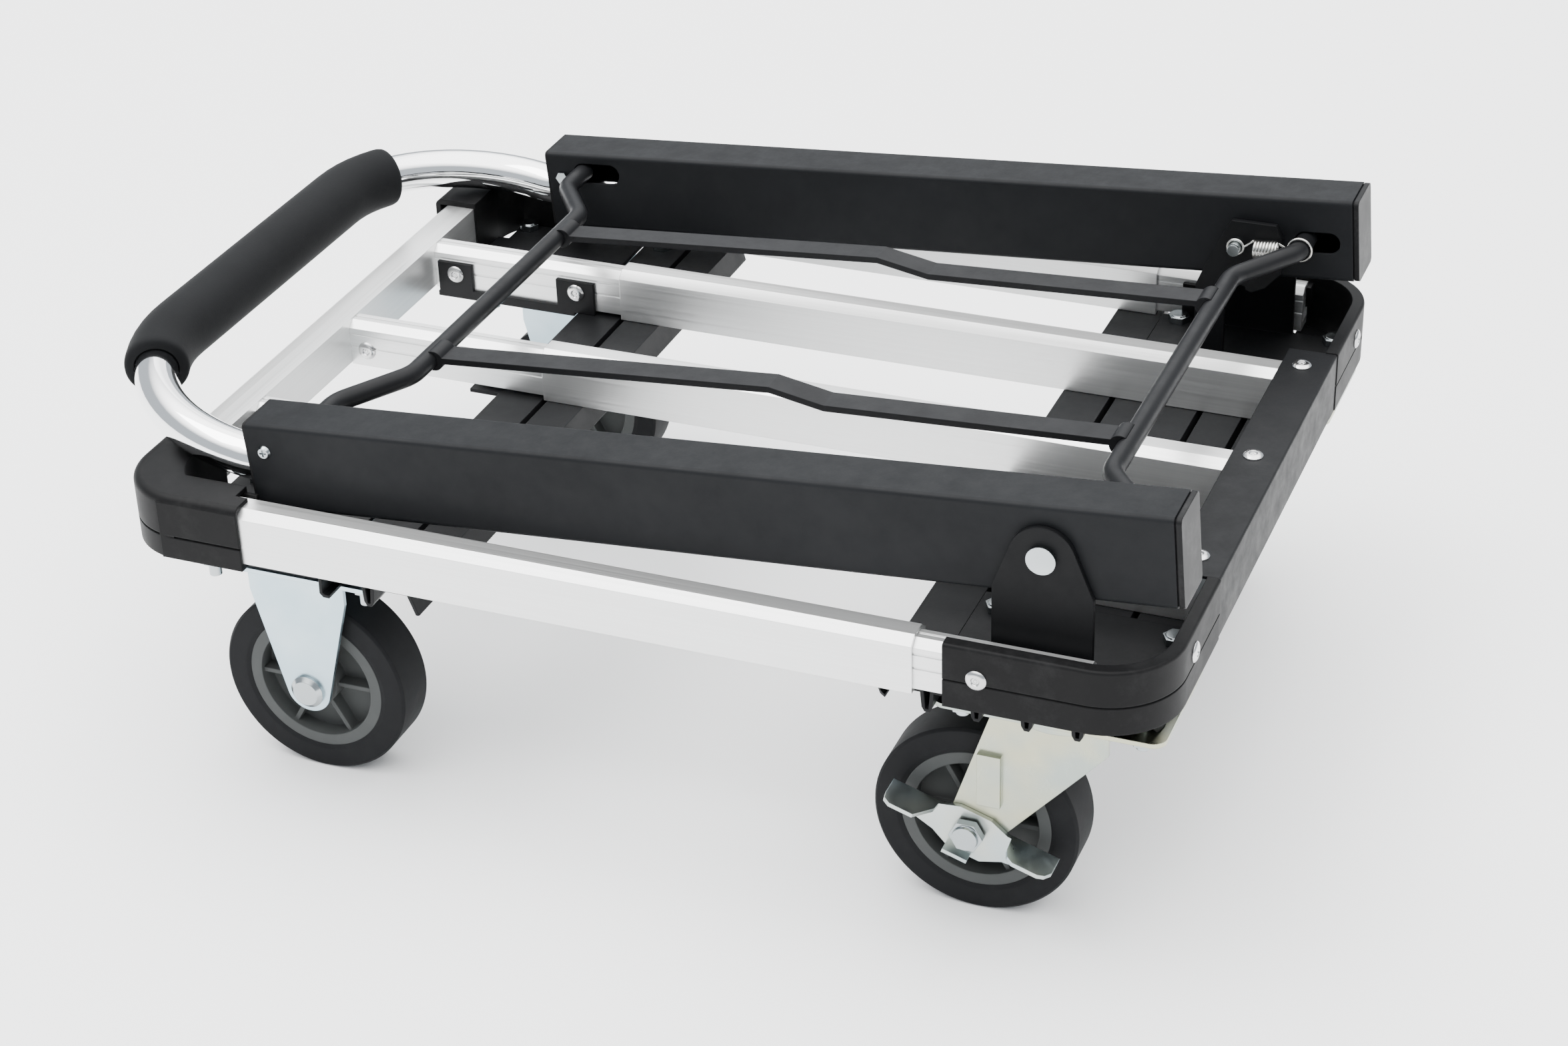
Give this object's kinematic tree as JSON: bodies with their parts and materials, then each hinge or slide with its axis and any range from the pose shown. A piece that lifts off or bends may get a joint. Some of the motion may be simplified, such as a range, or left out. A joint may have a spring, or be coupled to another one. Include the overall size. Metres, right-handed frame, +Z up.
{
  "type": "convertible hand truck",
  "caption": "Folding and extending platform trolley with slatted aluminium deck, fold-down telescoping grip, sprung catch frame, fixed and swivel casters.",
  "frame": {"origin": "middle of the footprint on the floor, below the middle of the truck", "axes": "+X along the deck from the grip end to the pivot end, +Y across the deck, +Z up"},
  "size_m": [0.7171, 0.522, 0.2968],
  "materials": {
    "ball_steel": "polished",
    "bearing_steel": "satin",
    "bracket_black": "satin powder coat",
    "channel_black": "satin powder coat",
    "corner_plastic": "fine texture",
    "deck_black": "satin powder coat",
    "fastener_zinc": "zinc plated",
    "fork_blue_zinc": "bluish bright zinc",
    "fork_yellow_zinc": "yellowish zinc",
    "frame_black": "satin powder coat",
    "grip_foam": "matt foam",
    "pedal_yellow_zinc": "yellowish zinc",
    "plug_plastic": "satin",
    "post_black": "satin powder coat",
    "rail_aluminium": "extruded, clear anodised",
    "rim_grey": "satin",
    "rivet_aluminium": "bright",
    "spring_steel": "bright wire",
    "tube_chrome": "mirror plated",
    "tyre_rubber": "matt"
  },
  "bodies": {
    "deck_base": {"side_inner_rail_near": "rail_aluminium", "side_inner_rail_far": "rail_aluminium", "deck_outer_rail_near": "rail_aluminium", "deck_outer_rail_middle": "rail_aluminium", "deck_outer_rail_far": "rail_aluminium", "right_channel": "channel_black", "corner_right_near": "corner_plastic", "corner_right_far": "corner_plastic", "right_deck_plate": "deck_black", "pivot_bracket_near": "bracket_black", "pivot_bracket_far": "bracket_black", "pivot_pins": "fastener_zinc", "right_rivets": "rivet_aluminium", "right_caster_bolts": "fastener_zinc", "swivel_plate_near": "fork_yellow_zinc", "swivel_plate_far": "fork_yellow_zinc", "swivel_balls": "ball_steel"},
    "deck_extension": {"side_outer_rail_near": "rail_aluminium", "side_outer_rail_far": "rail_aluminium", "deck_inner_rail_near": "rail_aluminium", "deck_inner_rail_middle": "rail_aluminium", "deck_inner_rail_far": "rail_aluminium", "left_cross_member": "rail_aluminium", "corner_left_near": "corner_plastic", "corner_left_far": "corner_plastic", "left_deck_plate": "deck_black", "left_caster_tray_near": "deck_black", "left_caster_tray_far": "deck_black", "left_rivets": "rivet_aluminium", "left_caster_bolts": "fastener_zinc", "fixed_fork_near": "fork_blue_zinc", "fixed_fork_far": "fork_blue_zinc", "fixed_axles": "fastener_zinc"},
    "handle": {"post_near": "post_black", "post_far": "post_black", "post_plugs": "plug_plastic", "post_screws": "fastener_zinc", "release_springs": "spring_steel"},
    "grip": {"u_tube": "tube_chrome", "foam_grip": "grip_foam"},
    "release_frame": {"release_rods": "frame_black", "release_bars": "frame_black"},
    "swivel_near": {"swivel_fork_near": "fork_yellow_zinc", "swivel_axle_near": "fastener_zinc"},
    "swivel_far": {"swivel_fork_far": "fork_yellow_zinc", "swivel_axle_far": "fastener_zinc"},
    "pedal_near": {"brake_pedal_near": "pedal_yellow_zinc"},
    "pedal_far": {"brake_pedal_far": "pedal_yellow_zinc"},
    "wheel_left_near": {"tyre_left_near": "tyre_rubber", "rim_left_near": "rim_grey", "bearing_left_near": "bearing_steel"},
    "wheel_left_far": {"tyre_left_far": "tyre_rubber", "rim_left_far": "rim_grey", "bearing_left_far": "bearing_steel"},
    "wheel_right_near": {"tyre_right_near": "tyre_rubber", "rim_right_near": "rim_grey", "bearing_right_near": "bearing_steel"},
    "wheel_right_far": {"tyre_right_far": "tyre_rubber", "rim_right_far": "rim_grey", "bearing_right_far": "bearing_steel"}
  },
  "joints": [
    {"name": "deck_extend", "type": "slide", "parent": "deck_base", "child": "deck_extension", "axis": [-1, 0, 0], "range_m": [0, 0.25]},
    {"name": "handle_fold", "type": "hinge", "parent": "deck_base", "child": "handle", "pos_m": [0.2794, 0, 0.2609], "axis": [0, 1, 0], "range_deg": [0, 94]},
    {"name": "handle_telescope", "type": "slide", "parent": "handle", "child": "grip", "axis": [-0.9971, 0, -0.0758], "range_m": [0, 0.3305]},
    {"name": "release_slide", "type": "slide", "parent": "handle", "child": "release_frame", "axis": [0.9971, 0, 0.0758], "range_m": [0, 0.015], "stiffness_N_per_m": 1800, "springref_m": -0.012, "deforming": ["release_springs"]},
    {"name": "swivel_turn_near", "type": "hinge", "parent": "deck_base", "child": "swivel_near", "pos_m": [0.285, -0.1935, 0.13], "axis": [0, 0, 1], "continuous": true},
    {"name": "swivel_turn_far", "type": "hinge", "parent": "deck_base", "child": "swivel_far", "pos_m": [0.285, 0.1935, 0.13], "axis": [0, 0, 1], "continuous": true},
    {"name": "wheel_spin_left_near", "type": "hinge", "parent": "deck_extension", "child": "wheel_left_near", "pos_m": [-0.201, -0.1935, 0.0625], "axis": [0, 1, 0], "continuous": true},
    {"name": "wheel_spin_left_far", "type": "hinge", "parent": "deck_extension", "child": "wheel_left_far", "pos_m": [-0.201, 0.1935, 0.0625], "axis": [0, 1, 0], "continuous": true},
    {"name": "wheel_spin_right_near", "type": "hinge", "parent": "swivel_near", "child": "wheel_right_near", "pos_m": [0.235, -0.1935, 0.0625], "axis": [0, 1, 0], "continuous": true},
    {"name": "wheel_spin_right_far", "type": "hinge", "parent": "swivel_far", "child": "wheel_right_far", "pos_m": [0.235, 0.1935, 0.0625], "axis": [0, 1, 0], "continuous": true},
    {"name": "brake_press_near", "type": "hinge", "parent": "swivel_near", "child": "pedal_near", "pos_m": [0.235, -0.1935, 0.0625], "axis": [0, 1, 0], "range_deg": [-36, 0]},
    {"name": "brake_press_far", "type": "hinge", "parent": "swivel_far", "child": "pedal_far", "pos_m": [0.235, 0.1935, 0.0625], "axis": [0, 1, 0], "range_deg": [-36, 0]}
  ],
  "couplings": [
    {"joint": "handle_telescope", "follows": "handle_fold", "m_per_rad": 0.20114}
  ]
}
